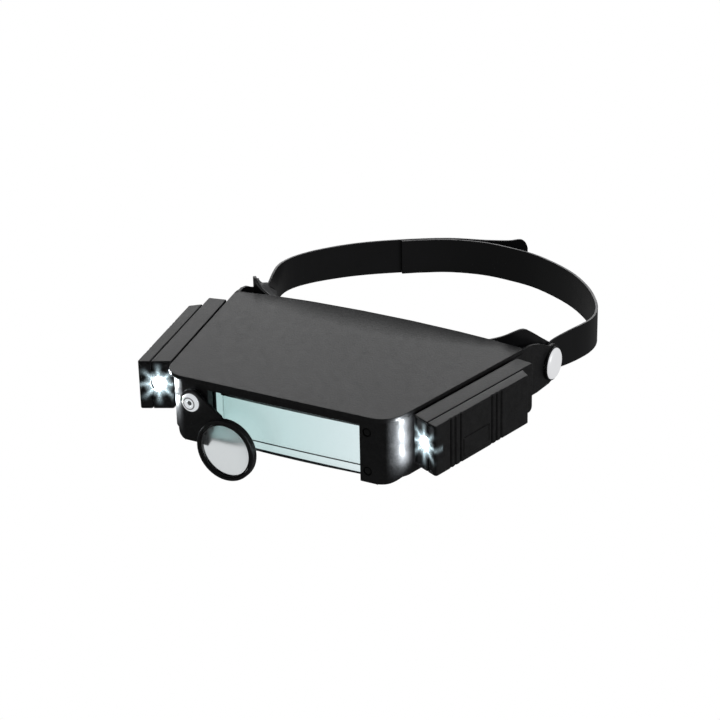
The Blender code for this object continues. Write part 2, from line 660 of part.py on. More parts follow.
def pivots(pivot):
    """On each side: a screw and nut through band, strap and arm, and a silver cap in a black rim."""
    seat = ARM_OUTER_X - PIVOT_HEAD_SINK + GAP
    tail = NUT_FACE - NUT_THICKNESS - seat
    rim_base = ARM_OUTER_X + GAP
    rim_hole = PIVOT_HEAD + 2.0 * GAP
    wall = CAP_RADIUS + GAP
    screw = [(0.0, 1.3), (4.4, 1.3), (PIVOT_HEAD, 0.8), (PIVOT_HEAD, 0.0), (PIVOT_SHANK, 0.0),
             (PIVOT_SHANK, tail), (0.0, tail)]
    rim = [(wall, 1.1), (RIM_RADIUS - 0.1, 1.1), (RIM_RADIUS, 0.9), (RIM_RADIUS, 0.0), (rim_hole, 0.0),
           (rim_hole, RIM_PLATE), (wall, RIM_PLATE)]
    dome = [(0.0, 1.0), (0.45, 0.98), (0.72, 0.88), (0.88, 0.7), (0.97, 0.42), (1.0, 0.12), (1.0, 0.0),
            (0.0, 0.0)]
    cap = [(radius * CAP_RADIUS, height * CAP_HEIGHT) for radius, height in dome]
    for side, name in SIDES:
        facing = "+X" if side > 0 else "-X"
        turned(f"pivot_screw_{name}", screw, (side * seat, 0.0, 0.0), facing, STEEL, pivot, 24)
        turned(f"pivot_rim_{name}", rim, (side * rim_base, 0.0, 0.0), facing, BLACK, pivot, 40, True)
        turned(f"pivot_cap_{name}", cap, (side * (rim_base + RIM_PLATE + GAP), 0.0, 0.0), facing, SILVER,
               pivot, 40)
        nut = rod(f"pivot_nut_{name}", (side * (NUT_FACE - NUT_THICKNESS), 0.0, 0.0),
                  (side * NUT_FACE, 0.0, 0.0), NUT_RADIUS, STEEL, None, 6)
        cut(nut, rod(f"cut_nut_{name}", (side * 80.0, 0.0, 0.0), (side * 95.0, 0.0, 0.0),
                     PIVOT_SHANK + GAP, None, None, 16))


# ---------------------------------------------------------------- lights


def face_b(a):
    """Front face of a light at a distance a from its inner side: it is turned a little inward."""
    return FACE_SLANT * (FACE_ZERO - a)


def light_box(name, side, slide, a, b, z, look=None):
    """A box in the light's frame, from ranges of a, b and z."""
    return block(name, (side * a[0], b[0], z[0]), (side * a[1], b[1], z[1]), look, slide)


def face_recess(side, name, slide):
    """A shallow recess in the front face, inside a narrow rim."""
    edges = (1.3, LIGHT_WIDTH - 1.4)
    outline = [(a, face_b(a) + FACE_RECESS) for a in edges] + [(a, face_b(a) - 4.0) for a in edges[::-1]]
    return slab(f"cut_face_{name}", [(side * a, b) for a, b in outline], "XY", -LIGHT_HEIGHT + 1.3, -1.3,
                None, slide)


def rear_corner(side, name, slide):
    """What is cut away to round the lower rear corner of the inner half."""
    centre = (TRAY_REAR - TRAY_REAR_CORNER, TRAY_REAR_CORNER - LIGHT_HEIGHT)
    outline = arc(centre, TRAY_REAR_CORNER, 0.0, -90.0, 6)
    outline += [(centre[0], -LIGHT_HEIGHT - 2.0), (TRAY_REAR + 2.0, -LIGHT_HEIGHT - 2.0),
                (TRAY_REAR + 2.0, centre[1])]
    return slab(f"cut_rear_corner_{name}", outline, "YZ", -30.0, 30.0, None, slide)


def light_tray(side, name, slide):
    """The inner half of the box: it holds the parts and hooks on to the visor's rail."""
    outline = [(0.0, face_b(0.0)), (TRAY_WIDTH, face_b(TRAY_WIDTH)), (TRAY_WIDTH, TRAY_REAR),
               (0.0, TRAY_REAR)]
    tray = slab(f"light_body_{name}", [(side * a, b) for a, b in outline], "XY", -LIGHT_HEIGHT, 0.0,
                BLACK, slide)
    cut(tray, light_box(f"cut_tray_{name}", side, slide, (SHELL, 14.0), POCKET,
                        (-LIGHT_HEIGHT + SHELL, -SHELL)))
    cut(tray, light_box(f"cut_tail_{name}", side, slide, (-2.0, TRAY_WIDTH - SHELL),
                        (POCKET[1] + SHELL, TRAY_REAR - SHELL), (-LIGHT_HEIGHT + SHELL, -SHELL)))
    join(tray, light_box(f"join_partition_{name}", side, slide, (1.0, TRAY_WIDTH - 1.7), PARTITION,
                         (-LIGHT_HEIGHT + 1.0, -1.0)))
    for way, level in ((1.0, "upper"), (-1.0, "lower")):
        near, far = RAIL_WEB + GAP, RAIL_FLANGE + GAP
        hook = [(0.6, far), (-1.2, far), (-1.2, near), (-2.0, near), (-2.0, far + 1.5), (0.6, far + 1.5)]
        join(tray, slab(f"join_hook_{name}_{level}", [(side * a, LED_Z + way * z) for a, z in hook],
                        "XZ", *HOOK_SPAN, None, slide))
    cut(tray, face_recess(side, name, slide), rear_corner(side, name, slide))
    cut(tray, rod(f"cut_reflector_{name}", (side * LED_A, -6.0, LED_Z),
                  (side * LED_A, REFLECTOR_SEAT, LED_Z),
                  REFLECTOR_RADIUS + GAP, None, slide))
    cut(tray, rod(f"cut_led_{name}", (side * LED_A, 0.0, LED_Z), (side * LED_A, LED_BORE_END, LED_Z),
                  2.5 + GAP, None, slide))
    cut(tray, light_box(f"cut_switch_{name}", side, slide, *SWITCH_SLOT))
    return tray


def battery_cover(side, name, slide):
    """The outer half of the box: a sliding cover with two groups of finger grooves."""
    inner = TRAY_WIDTH + GAP
    outline = [(inner, face_b(inner)), (LIGHT_WIDTH - 1.0, face_b(LIGHT_WIDTH - 1.0)),
               (LIGHT_WIDTH, face_b(LIGHT_WIDTH) + 1.2), (LIGHT_WIDTH, COVER_REAR), (inner, PARTING_REAR)]
    cover = slab(f"battery_cover_{name}", [(side * a, b) for a, b in outline], "XY", -LIGHT_HEIGHT, 0.0,
                 BLACK, slide)
    cut(cover, light_box(f"cut_cover_{name}", side, slide, (8.0, LIGHT_WIDTH - SHELL), COVER_POCKET,
                         (-LIGHT_HEIGHT + SHELL, -SHELL)))
    for level, (tongue, root) in COVER_TONGUES.items():
        join(cover, light_box(f"join_tongue_{name}_{level}", side, slide, (9.6, 13.0), TONGUE_SPAN, tongue))
        join(cover, light_box(f"join_root_{name}_{level}", side, slide, (11.8, 13.4), TONGUE_ROOT_SPAN, root))
    for number, b in enumerate(GROOVES):
        cut(cover, light_box(f"cut_groove_{name}_{number}", side, slide, (LIGHT_WIDTH - GROOVE_DEPTH, 20.0),
                             (b - 0.5, b + 0.5), (-LIGHT_HEIGHT - 1.0, 1.0)))
    cut(cover, light_box(f"cut_panel_{name}", side, slide, (LIGHT_WIDTH - SIDE_PANEL_DEPTH, 20.0),
                         *SIDE_PANEL))
    cut(cover, face_recess(side, f"cover_{name}", slide))
    cut(cover, rod(f"cut_cover_reflector_{name}", (side * LED_A, -6.0, LED_Z),
                  (side * LED_A, REFLECTOR_SEAT, LED_Z),
                   REFLECTOR_RADIUS + GAP, None, slide))
    return cover


def light_insides(side, name, slide):
    """Reflector, LED, circuit board, two cells, their contacts and the switch slider."""
    cone = [(3.9, 0.0), (REFLECTOR_RADIUS, 0.0), (REFLECTOR_RADIUS, -0.6), (3.3, -3.9), (2.8, -3.9)]
    turned(f"reflector_{name}", cone, (side * LED_A, REFLECTOR_FRONT, LED_Z), "-Y", CHROME, slide, 32, True)
    dome = [(2.5 * math.sin(math.radians(t)), 2.5 * math.cos(math.radians(t))) for t in (0, 22, 45, 68, 90)]
    led = dome + [(2.5, -4.0), (2.9, -4.0), (2.9, -5.0), (0.0, -5.0)]
    turned(f"led_{name}", led, (side * LED_A, 5.4, LED_Z), "-Y", LED_WHITE, slide, 24)
    light_box(f"led_board_{name}", side, slide, (2.2, 10.7), (10.8, 11.8), (LED_Z - 7.0, LED_Z + 7.0),
              BOARD_GREEN)
    for level, z in BATTERY_Z.items():
        cell = [(0.0, 0.0), (1.9, 0.0), (1.9, -1.0), (4.6, -1.0), (BATTERY_RADIUS, -1.6),
                (BATTERY_RADIUS, -BATTERY_LENGTH + 0.5), (4.6, -BATTERY_LENGTH), (0.0, -BATTERY_LENGTH)]
        turned(f"battery_{name}_{level}", cell, (side * BATTERY_A, BATTERY_FRONT, z), "-Y", CELL, slide, 20)
    for end, b in (("front", BATTERY_FRONT - GAP - 0.5), ("rear", BATTERY_FRONT + BATTERY_LENGTH + GAP)):
        light_box(f"battery_contact_{name}_{end}", side, slide, (1.8, 12.4), (b, b + 0.5), (-25.4, -3.2),
                  STEEL)


def switch(side, name, slide):
    """The switch slider under the box: a thumb piece and the flange that keeps it in its slot."""
    own_slide = axis_empty(f"switch_slide_{name}", (side * SWITCH_PLACE[0], *SWITCH_PLACE[1:]), 0.0, slide)
    thumb = block(f"switch_{name}", (-1.7, -1.7, -2.9), (1.7, 2.3, 1.0), BLACK, own_slide)
    join(thumb, block(f"join_switch_{name}", (-2.8, -2.9, 0.3), (2.8, 3.3, 1.3), None, own_slide))


def light(side, name, slide):
    """One whole light."""
    light_tray(side, name, slide)
    light_insides(side, name, slide)
    switch(side, name, slide)
    cover_slide = axis_empty(f"cover_slide_{name}", (0.0, 0.0, 0.0), 0.0, slide)
    battery_cover(side, name, cover_slide)


# ---------------------------------------------------------------- headband


def band_rows(sections, inward, trim):
    """Rows of points from the left end to the right one, moved inward and trimmed at the edges."""
    half = smooth_path(sections, 3)
    line = [Vector((-x, y, low, high)) for x, y, low, high in reversed(half[1:])] + half
    rows = []
    for i, (x, y, low, high) in enumerate(line):
        before, after = line[max(i - 1, 0)], line[min(i + 1, len(line) - 1)]
        along = Vector((after[0] - before[0], after[1] - before[1], 0.0)).normalized()
        inside = Vector((-along.y, along.x, 0.0))
        foot = Vector((x, y, 0.0)) + inside * inward
        low, high = low + trim, high - trim
        rows.append([(foot.x, foot.y, low + (high - low) * k / 2.0) for k in range(3)])
    return rows


def forehead():
    """The forehead band with its raised ears, and the pad inside it."""
    band = sheet("forehead_band", band_rows(BAND_SECTIONS, 0.0, 0.0), BAND_THICKNESS, STRAP_BLACK)
    flange_rows = band_rows(BAND_SECTIONS[:-1], BAND_THICKNESS + GAP, PAD_TRIM)
    pad = sheet("forehead_pad", flange_rows, PAD_FLANGE, PAD_GREY)
    cushion_rows = band_rows(CUSHION_SECTIONS, BAND_THICKNESS + GAP + PAD_FLANGE / 3.0, 0.0)
    join(pad, sheet("join_cushion", cushion_rows, CUSHION_THICKNESS, None))
    for side, name in SIDES:
        join(band, rod(f"join_band_boss_{name}", (side * (NUT_FACE + GAP), 0.0, 0.0),
                       (side * BAND_BOSS_END, 0.0, 0.0), BAND_BOSS, None, None, 20))
        root, tip = BAND_STUD_SPAN
        join(band, rod(f"join_stud_{name}", (side * root, BAND_STUD_Y, 0.0),
                       (side * tip, BAND_STUD_Y, 0.0), BAND_STUD, None, None, 12))
        cut(band, rod(f"cut_band_{name}", (side * 80.0, 0.0, 0.0), (side * 100.0, 0.0, 0.0), PIVOT_HOLE,
                      None, None, 16))
        cut(pad, rod(f"cut_pad_{name}", (side * 80.0, 0.0, 0.0), (side * 100.0, 0.0, 0.0),
                     BAND_BOSS + GAP, None, None, 16))
    weld(pad)


def strap_heights(travelled, low, high):
    """Bottom and top of a strap at a distance from its tip, where the tongue is round."""
    if travelled >= TONGUE:
        return low, high
    half = max(math.sqrt(TONGUE ** 2 - (TONGUE - travelled) ** 2), 0.8)
    return -half, half


def strap_rows(side, points):
    """Rows of points along a strap, from its tongue to its free end."""
    path = smooth_path(points, 4)
    rows = []
    travelled = 0.0
    for i, (x, y, low, high) in enumerate(path):
        if i:
            travelled += math.hypot(x - path[i - 1][0], y - path[i - 1][1])
        low, high = strap_heights(travelled, low, high)
        rows.append([(side * x, y, low), (side * x, y, high)])
    return rows


def strap_place(x, points):
    """Where a strap's outer face passes a given x at the back: the point and the outward direction."""
    path = smooth_path(points, 12)
    index = min(range(40, len(path) - 1), key=lambda i: abs(path[i].x - x))
    along = (path[index + 1] - path[index - 1]).to_3d()
    outward = Vector((along.y, -along.x, 0.0)).normalized()
    point = path[index]
    return Vector((point.x, point.y, (point.z + point.w) / 2.0)), outward


def straps():
    """Two straps: the right one ends inside the left one and snaps into its holes with two pegs."""
    made = {}
    for side, name in SIDES:
        end = STRAP_OUTER_END if side < 0 else STRAP_INNER_END
        rows = strap_rows(side, STRAP_SIDE + end)
        if side < 0:
            rows.reverse()
        strap = sheet(f"strap_{name}", rows, STRAP_THICKNESS, STRAP_BLACK)
        cut(strap, rod(f"cut_strap_{name}", (side * 90.0, 0.0, 0.0), (side * 100.0, 0.0, 0.0), PIVOT_HOLE,
                       None, None, 16))
        cut(strap, rod(f"cut_strap_stud_{name}", (side * 90.0, BAND_STUD_Y, 0.0),
                       (side * 100.0, BAND_STUD_Y, 0.0), BAND_STUD + GAP, None, None, 12))
        made[name] = strap
    head_radius, head_height = PEG_HEAD
    reach = 4.0 * GAP + STRAP_THICKNESS
    peg = [(0.0, reach + head_height), (head_radius - 0.5, reach + head_height),
           (head_radius, reach + head_height / 2.0), (head_radius, reach), (PEG_RADIUS, reach),
           (PEG_RADIUS, -STRAP_THICKNESS / 2.0), (0.0, -STRAP_THICKNESS / 2.0)]
    for number, x in enumerate(PEG_PLACES):
        point, outward = strap_place(x, STRAP_SIDE + STRAP_INNER_END)
        join(made["right"], turned(f"join_peg_{number}", peg, point, outward, None, None, 16))
    for number, x in enumerate(HOLE_PLACES):
        point, outward = strap_place(x, STRAP_SIDE + STRAP_INNER_END)
        cut(made["left"], rod(f"cut_strap_hole_{number}", point - outward * 0.2, point + outward * 6.0,
                              PEG_RADIUS + GAP, None, None, 16))
    weld(made["left"])
    weld(made["right"])


# ---------------------------------------------------------------- whole object


def main():
    """Build the headband, the visor and everything on it."""
    pivot = axis_empty("visor_tilt_axis", (0.0, 0.0, 0.0))
    slides = {}
    for side, name in SIDES:
        corner = (side * LIGHT_CORNER[0], LIGHT_CORNER[1], LIGHT_CORNER[2])
        slides[side] = axis_empty(f"light_slide_{name}", corner, -side * FLARE, pivot)
    forehead()
    straps()
    visor_shell(pivot, slides)
    main_lens(pivot)
    lens_retainers(pivot)
    lens_screws(pivot)
    flip_lens(axis_empty("flip_axis", (0.0, FLIP_AXIS_Y, FLIP_AXIS_Z), 0.0, pivot))
    loupe(pivot, axis_empty("loupe_axis", (LOUPE_PIVOT_X, 0.0, LOUPE_PIVOT_Z), 0.0, pivot))
    pivots(pivot)
    for side, name in SIDES:
        light(side, name, slides[side])


main()
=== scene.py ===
"""Looks of the head visor magnifier: rounded moulded pieces, a soft forehead pad, clear lenses and lit
lights."""

import json
import math

import bmesh
import bpy
from mathutils import Matrix, Vector

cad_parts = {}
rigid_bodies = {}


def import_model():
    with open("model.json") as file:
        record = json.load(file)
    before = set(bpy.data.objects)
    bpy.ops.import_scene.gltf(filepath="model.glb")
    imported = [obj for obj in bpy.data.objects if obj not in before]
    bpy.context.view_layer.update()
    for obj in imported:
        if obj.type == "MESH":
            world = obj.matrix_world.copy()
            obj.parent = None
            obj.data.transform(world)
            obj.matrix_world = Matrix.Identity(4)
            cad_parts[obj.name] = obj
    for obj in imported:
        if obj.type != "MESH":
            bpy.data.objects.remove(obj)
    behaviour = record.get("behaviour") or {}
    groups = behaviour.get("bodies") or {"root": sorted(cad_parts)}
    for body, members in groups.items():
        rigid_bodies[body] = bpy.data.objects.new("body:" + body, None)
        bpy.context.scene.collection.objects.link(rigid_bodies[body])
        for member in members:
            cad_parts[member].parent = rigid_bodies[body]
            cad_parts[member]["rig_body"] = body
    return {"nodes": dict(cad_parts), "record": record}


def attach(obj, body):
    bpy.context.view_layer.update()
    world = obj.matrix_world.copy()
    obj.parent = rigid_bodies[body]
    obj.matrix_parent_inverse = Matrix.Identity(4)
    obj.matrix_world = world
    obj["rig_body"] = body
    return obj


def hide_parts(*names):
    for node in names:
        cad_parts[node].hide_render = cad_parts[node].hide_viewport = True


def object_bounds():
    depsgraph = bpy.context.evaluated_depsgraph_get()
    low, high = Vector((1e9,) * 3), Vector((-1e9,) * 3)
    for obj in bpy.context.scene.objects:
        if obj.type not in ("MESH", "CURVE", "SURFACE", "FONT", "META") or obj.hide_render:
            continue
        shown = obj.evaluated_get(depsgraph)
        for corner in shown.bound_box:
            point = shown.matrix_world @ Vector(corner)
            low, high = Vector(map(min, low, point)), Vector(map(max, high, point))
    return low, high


MM = 0.001
SIDES = ((-1, "left"), (1, "right"))
WELD = 2e-5
SHARP_ANGLE = math.radians(35.0)
SMOOTH_ANGLE = math.radians(30.0)
FLAT_ANGLE = math.radians(1.0)

# Camera: right, up and backward directions, and the place it looks from
CAMERA_AXES = (
    (0.87717, 0.47973, -0.02105),
    (-0.18417, 0.37658, 0.90789),
    (0.44347, -0.79250, 0.41867),
)
CAMERA_PLACE = (0.5602, -1.0468, 0.5301)
CAMERA_LENS = 113.05

# How bright the white backdrop and floor are to look at, and as sources of light
SEEN = 1.0
LIT = 0.1

# Studio lights: name, place, the point they face, size and power
LIGHT_TARGET = (0.0, -0.05, 0.0)
STUDIO_LIGHTS = (
    ("back", (-0.8, 1.4, 0.62), LIGHT_TARGET, (1.3, 0.6), 4.9),
    ("above", (-0.2, 0.1, 1.5), LIGHT_TARGET, (0.9, 0.9), 2.2),
    ("right", (1.5, -0.1, 0.5), (0.1, 0.0, 0.0), (0.6, 0.6), 4.0),
)

# Light boxes, in their own frame (a outward, b to the rear, z up from the box's top): the corner that
# is the frame's origin, its turn about Z, and where the LED and the front face are
FLARE = math.radians(11.7)
LIGHT_CORNER = Vector((73.8, -125.4, 17.5))
LED_A = 7.6
LED_Z = -14.0
FACE_DEPTH = 3.3
# Painted light on each light's front face: the number of streaks, and the spans in mm from the LED over
# which the streaks and the halo fade
RAYS = 8.0
RAY_SPAN = (3.0, 13.5)
HALO_SPAN = (3.8, 8.5)
# Small spotlights in front of each light: their place, their target, their heights, cone and power
LAMP_PLACE = (4.0, -4.5)
LAMP_TARGET = (-8.0, -4.0)
LAMP_HEIGHTS = (-5.0, -14.0, -23.0)
LAMP_CONE = 125.0
LAMP_POWER = 0.045

# The loupe's chrome screw: its axis, and the ring and the recess turned in its head, where shade is painted
# on the chrome
SCREW_X = -55.0
SCREW_Z = 2.0
SCREW_RING = 3.3
SCREW_RECESS = 1.5

# Colour of the lens plate, dark teal at its left end and pale at its right end
LENS_HALF_WIDTH = 48.0
LENS_LEFT_END_COLOUR = (0.44, 0.64, 0.63)
LENS_RIGHT_END_COLOUR = (0.78, 0.87, 0.89)

# Swelling of the forehead pad
VOXEL = 0.003
PRESSURE = 4.0
SWELL_FRAMES = 20
SWELL_CAP = 0.0018
HEAD_CENTRE_Y = 0.04
PAD_ROUNDING = 0.35

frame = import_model()
CAD_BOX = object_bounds()
NODES = frame["nodes"]


# ---------------------------------------------------------------- camera, light and floor


def make_camera():
    """The photograph's viewing angle."""
    data = bpy.data.cameras.new("camera")
    data.lens = CAMERA_LENS
    data.sensor_width = 36.0
    data.clip_end = 20.0
    camera = bpy.data.objects.new("camera", data)
    turn = Matrix(CAMERA_AXES).transposed().to_4x4()
    camera.matrix_world = Matrix.Translation(CAMERA_PLACE) @ turn
    bpy.context.scene.collection.objects.link(camera)
    bpy.context.scene.camera = camera


def area_light(name, place, target, size, power):
    """A soft rectangular studio light that faces a point."""
    data = bpy.data.lights.new(name, "AREA")
    data.shape = "RECTANGLE"
    data.size, data.size_y = size
    data.energy = power
    light = bpy.data.objects.new(name, data)
    light.location = place
    light.rotation_euler = (Vector(target) - Vector(place)).to_track_quat("-Z", "Y").to_euler()
    bpy.context.scene.collection.objects.link(light)


def make_world():
    """A white backdrop to look at, and a dimmer one to light the object with."""
    world = bpy.data.worlds.new("studio")
    bpy.context.scene.world = world
    world.use_nodes = True
    tree = world.node_tree
    tree.nodes.clear()
    path = tree.nodes.new("ShaderNodeLightPath")
    seen = tree.nodes.new("ShaderNodeBackground")
    seen.inputs["Color"].default_value = (1.0, 1.0, 1.0, 1.0)
    seen.inputs["Strength"].default_value = SEEN
    lit = tree.nodes.new("ShaderNodeBackground")
    lit.inputs["Color"].default_value = (0.93, 0.96, 1.0, 1.0)
    lit.inputs["Strength"].default_value = LIT
    mix = tree.nodes.new("ShaderNodeMixShader")
    out = tree.nodes.new("ShaderNodeOutputWorld")
    tree.links.new(path.outputs["Is Camera Ray"], mix.inputs["Fac"])
    tree.links.new(lit.outputs["Background"], mix.inputs[1])
    tree.links.new(seen.outputs["Background"], mix.inputs[2])
    tree.links.new(mix.outputs["Shader"], out.inputs["Surface"])


def make_floor():
    """A wide pale floor just below the object, bright to look at and dimmer as a source of light."""
    bm = bmesh.new()
    bmesh.ops.create_circle(bm, cap_ends=True, segments=64, radius=6.0)
    mesh = bpy.data.meshes.new("floor")
    bm.to_mesh(mesh)
    bm.free()
    floor = bpy.data.objects.new("floor", mesh)
    floor.location = (0.0, 0.0, CAD_BOX[0][2] - 0.002)
    bpy.context.scene.collection.objects.link(floor)
    look = bpy.data.materials.new("floor_white")
    look.use_nodes = True
    tree = look.node_tree
    tree.nodes.clear()
    path = tree.nodes.new("ShaderNodeLightPath")
    glow = tree.nodes.new("ShaderNodeEmission")
    strength = tree.nodes.new("ShaderNodeMapRange")
    strength.inputs["To Min"].default_value = LIT
    strength.inputs["To Max"].default_value = SEEN
    out = tree.nodes.new("ShaderNodeOutputMaterial")
    clear = tree.nodes.new("ShaderNodeMath")
    clear.operation = "MAXIMUM"
    tree.links.new(path.outputs["Is Camera Ray"], clear.inputs[0])
    tree.links.new(path.outputs["Is Transmission Ray"], clear.inputs[1])
    tree.links.new(clear.outputs["Value"], strength.inputs["Value"])
    tree.links.new(strength.outputs["Result"], glow.inputs["Strength"])
    tree.links.new(glow.outputs["Emission"], out.inputs["Surface"])
    mesh.materials.append(look)


# ---------------------------------------------------------------- materials


class Look:
    """A Principled material with helpers for its procedural inputs."""

    def __init__(self, name, colour, roughness, **sockets):
        self.material = bpy.data.materials.new(name)
        self.material.use_nodes = True
        self.tree = self.material.node_tree
        self.shader = self.tree.nodes["Principled BSDF"]
        self.set("Base Color", (*colour, 1.0))
        self.set("Roughness", roughness)
        for socket, value in sockets.items():
            self.set(socket.replace("_", " "), value)
        self.place = self.tree.nodes.new("ShaderNodeTexCoord").outputs["Object"]

    @classmethod
    def of(cls, material):
        """The helpers for a material that already exists."""
        look = cls.__new__(cls)
        look.material = material
        look.tree = material.node_tree
        look.shader = look.tree.nodes["Principled BSDF"]
        look.place = look.tree.nodes.new("ShaderNodeTexCoord").outputs["Object"]
        return look

    def set(self, socket, value):
        self.shader.inputs[socket].default_value = value

    def along(self, axis, place=None):
        """One coordinate of a place, the object's own unless another is given."""
        node = self.tree.nodes.new("ShaderNodeSeparateXYZ")
        self.tree.links.new(place or self.place, node.inputs["Vector"])
        return node.outputs[axis]

    def noise(self, size_mm, detail=2.0, roughness=0.5, stretch=(1.0, 1.0, 1.0)):
        """Noise with features of about this size."""
        mapping = self.tree.nodes.new("ShaderNodeMapping")
        mapping.inputs["Scale"].default_value = stretch
        self.tree.links.new(self.place, mapping.inputs["Vector"])
        node = self.tree.nodes.new("ShaderNodeTexNoise")
        node.inputs["Scale"].default_value = 1.0 / (size_mm * MM)
        node.inputs["Detail"].default_value = detail
        node.inputs["Roughness"].default_value = roughness
        self.tree.links.new(mapping.outputs["Vector"], node.inputs["Vector"])
        return node.outputs["Fac"]

    def cells(self, size_mm, feature="F1"):
        """Cell pattern with cells of about this size."""
        node = self.tree.nodes.new("ShaderNodeTexVoronoi")
        node.feature = feature
        node.inputs["Scale"].default_value = 1.0 / (size_mm * MM)
        self.tree.links.new(self.place, node.inputs["Vector"])
        return node.outputs["Distance"]

    def spread(self, value, low, high, out_low, out_high):
        """Map a value's range to another."""
        node = self.tree.nodes.new("ShaderNodeMapRange")
        numbers = {"From Min": low, "From Max": high, "To Min": out_low, "To Max": out_high}
        for socket, number in numbers.items():
            node.inputs[socket].default_value = number
        self.tree.links.new(value, node.inputs["Value"])
        return node.outputs["Result"]

    def maths(self, operation, first, second):
        """One step of arithmetic on a value and a value or number."""
        node = self.tree.nodes.new("ShaderNodeMath")
        node.operation = operation
        self.tree.links.new(first, node.inputs[0])
        if isinstance(second, (int, float)):
            node.inputs[1].default_value = second
        else:
            self.tree.links.new(second, node.inputs[1])
        return node.outputs["Value"]

    def distance(self, across, above):
        """Distance from an axis, from two coordinates."""
        squares = [self.maths("MULTIPLY", part, part) for part in (across, above)]
        return self.maths("SQRT", self.maths("ADD", *squares), 0.0)

    def colours(self, value, dark, light):
        """Two colours blended by a value, as the base colour."""
        node = self.tree.nodes.new("ShaderNodeMix")
        node.data_type = "RGBA"
        node.inputs["A"].default_value = (*dark, 1.0)
        node.inputs["B"].default_value = (*light, 1.0)
        self.tree.links.new(value, node.inputs["Factor"])
        self.tree.links.new(node.outputs["Result"], self.shader.inputs["Base Color"])

    def rough(self, value, low, high):
        """Roughness that follows a value."""
        self.tree.links.new(self.spread(value, 0.2, 0.8, low, high), self.shader.inputs["Roughness"])

    def bump(self, value, height_mm, strength=1.0, after=None):
        """Fine relief; several can follow each other."""
        node = self.tree.nodes.new("ShaderNodeBump")
        node.inputs["Strength"].default_value = strength
        node.inputs["Distance"].default_value = height_mm * MM
        self.tree.links.new(value, node.inputs["Height"])
        if after is not None:
            self.tree.links.new(after, node.inputs["Normal"])
        self.tree.links.new(node.outputs["Normal"], self.shader.inputs["Normal"])
        return node.outputs["Normal"]


# Grain of the moulded plastic and of the blackened screws: dark and light colour, least and most
# roughness, and the grain's size
GRAIN = ((0.012, 0.012, 0.0125), (0.044, 0.044, 0.045), 0.37, 0.46, 0.9)
SCREW_GRAIN = ((0.012, 0.012, 0.012), (0.03, 0.03, 0.03), 0.3, 0.45, 0.3)


def grained_black(name, dark, light, rough_low, rough_high, grain_mm):
    """Moulded plastic with a fine spark-eroded grain and faint handling marks."""
    look = Look(name, dark, rough_low, Specular_IOR_Level=0.4)
    blotch = look.noise(5.0 * grain_mm, 3.0, 0.6)
    fine = look.noise(grain_mm, 2.0, 0.7)
    blend = look.maths("ADD", look.spread(fine, 0.3, 0.7, 0.0, 0.6),
                       look.spread(blotch, 0.35, 0.65, 0.0, 0.4))
    look.colours(blend, dark, light)
    look.rough(blotch, rough_low, rough_high)
    first = look.bump(look.cells(grain_mm * 1.6), 0.05, 0.5)
    look.bump(fine, 0.06, 0.6, first)
    return look.material


def plastic_with_painted_rays(name, side):
    """The lights' black plastic, with streaks and a halo of the LED's light painted on the front face by
    emission.
    """
    material = grained_black(name, *GRAIN)
    look = Look.of(material)
    frame_place = look.tree.nodes.new("ShaderNodeMapping")
    frame_place.vector_type = "TEXTURE"
    frame_place.inputs["Location"].default_value = (side * LIGHT_CORNER.x * MM, *(LIGHT_CORNER.yz * MM))
    frame_place.inputs["Rotation"].default_value = (0.0, 0.0, -side * FLARE)
    look.tree.links.new(look.place, frame_place.inputs["Vector"])
    place = frame_place.outputs["Vector"]
    across = look.maths("ADD", look.along("X", place), -side * LED_A * MM)
    above = look.maths("ADD", look.along("Z", place), -LED_Z * MM)
    radius = look.distance(across, above)
    angle = look.maths("ARCTAN2", above, across)
    wave = look.maths("ABSOLUTE", look.maths("COSINE", look.maths("MULTIPLY", angle, RAYS / 2.0), 0.0), 0.0)
    ray_fade, halo_fade = (look.spread(radius, start * MM, end * MM, 1.0, 0.0)
                           for start, end in (RAY_SPAN, HALO_SPAN))
    ray = look.maths("MULTIPLY", look.maths("POWER", wave, 6.0), look.maths("POWER", ray_fade, 1.6))
    halo = look.maths("POWER", halo_fade, 1.6)
    sparkle = look.spread(look.noise(0.7, 2.0, 0.7), 0.3, 0.7, 0.4, 1.6)
    strength = look.maths("MULTIPLY", look.maths("ADD", look.maths("MULTIPLY", ray, 1.3), halo), sparkle)
    front = look.spread(look.along("Y", place), FACE_DEPTH * MM, (FACE_DEPTH + 0.3) * MM, 1.0, 0.0)
    # Emission paints the streaks and the halo of the LED's light on the face
    look.set("Emission Color", (0.72, 0.92, 1.0, 1.0))
    look.tree.links.new(look.maths("MULTIPLY", strength, front), look.shader.inputs["Emission Strength"])
    return material


def smooth_black(name, base, rough_low, rough_high):
    """Smooth half-gloss plastic with fine rubbed scratches."""
    look = Look(name, base, rough_low, Specular_IOR_Level=0.5)
    look.colours(look.noise(30.0, 3.0), base, tuple(1.5 * part for part in base))
    look.rough(look.noise(5.0, 4.0), rough_low, rough_high)
    scratches = look.noise(0.5, 3.0, 0.7, (0.05, 0.05, 1.0))
    first = look.bump(scratches, 0.02, 0.25)
    look.bump(look.noise(9.0, 2.0), 0.1, 0.2, first)
    return look.material


def soft_grey():
    """Grey vinyl with a pebbled leather grain."""
    look = Look("pad_vinyl", (0.16, 0.16, 0.16), 0.5, Specular_IOR_Level=0.4)
    look.colours(look.noise(14.0, 3.0), (0.13, 0.13, 0.135), (0.2, 0.2, 0.2))
    look.rough(look.noise(3.0, 3.0), 0.42, 0.62)
    first = look.bump(look.cells(1.1), 0.12, 0.6)
    look.bump(look.noise(0.35, 2.0), 0.04, 0.5, first)
    return look.material


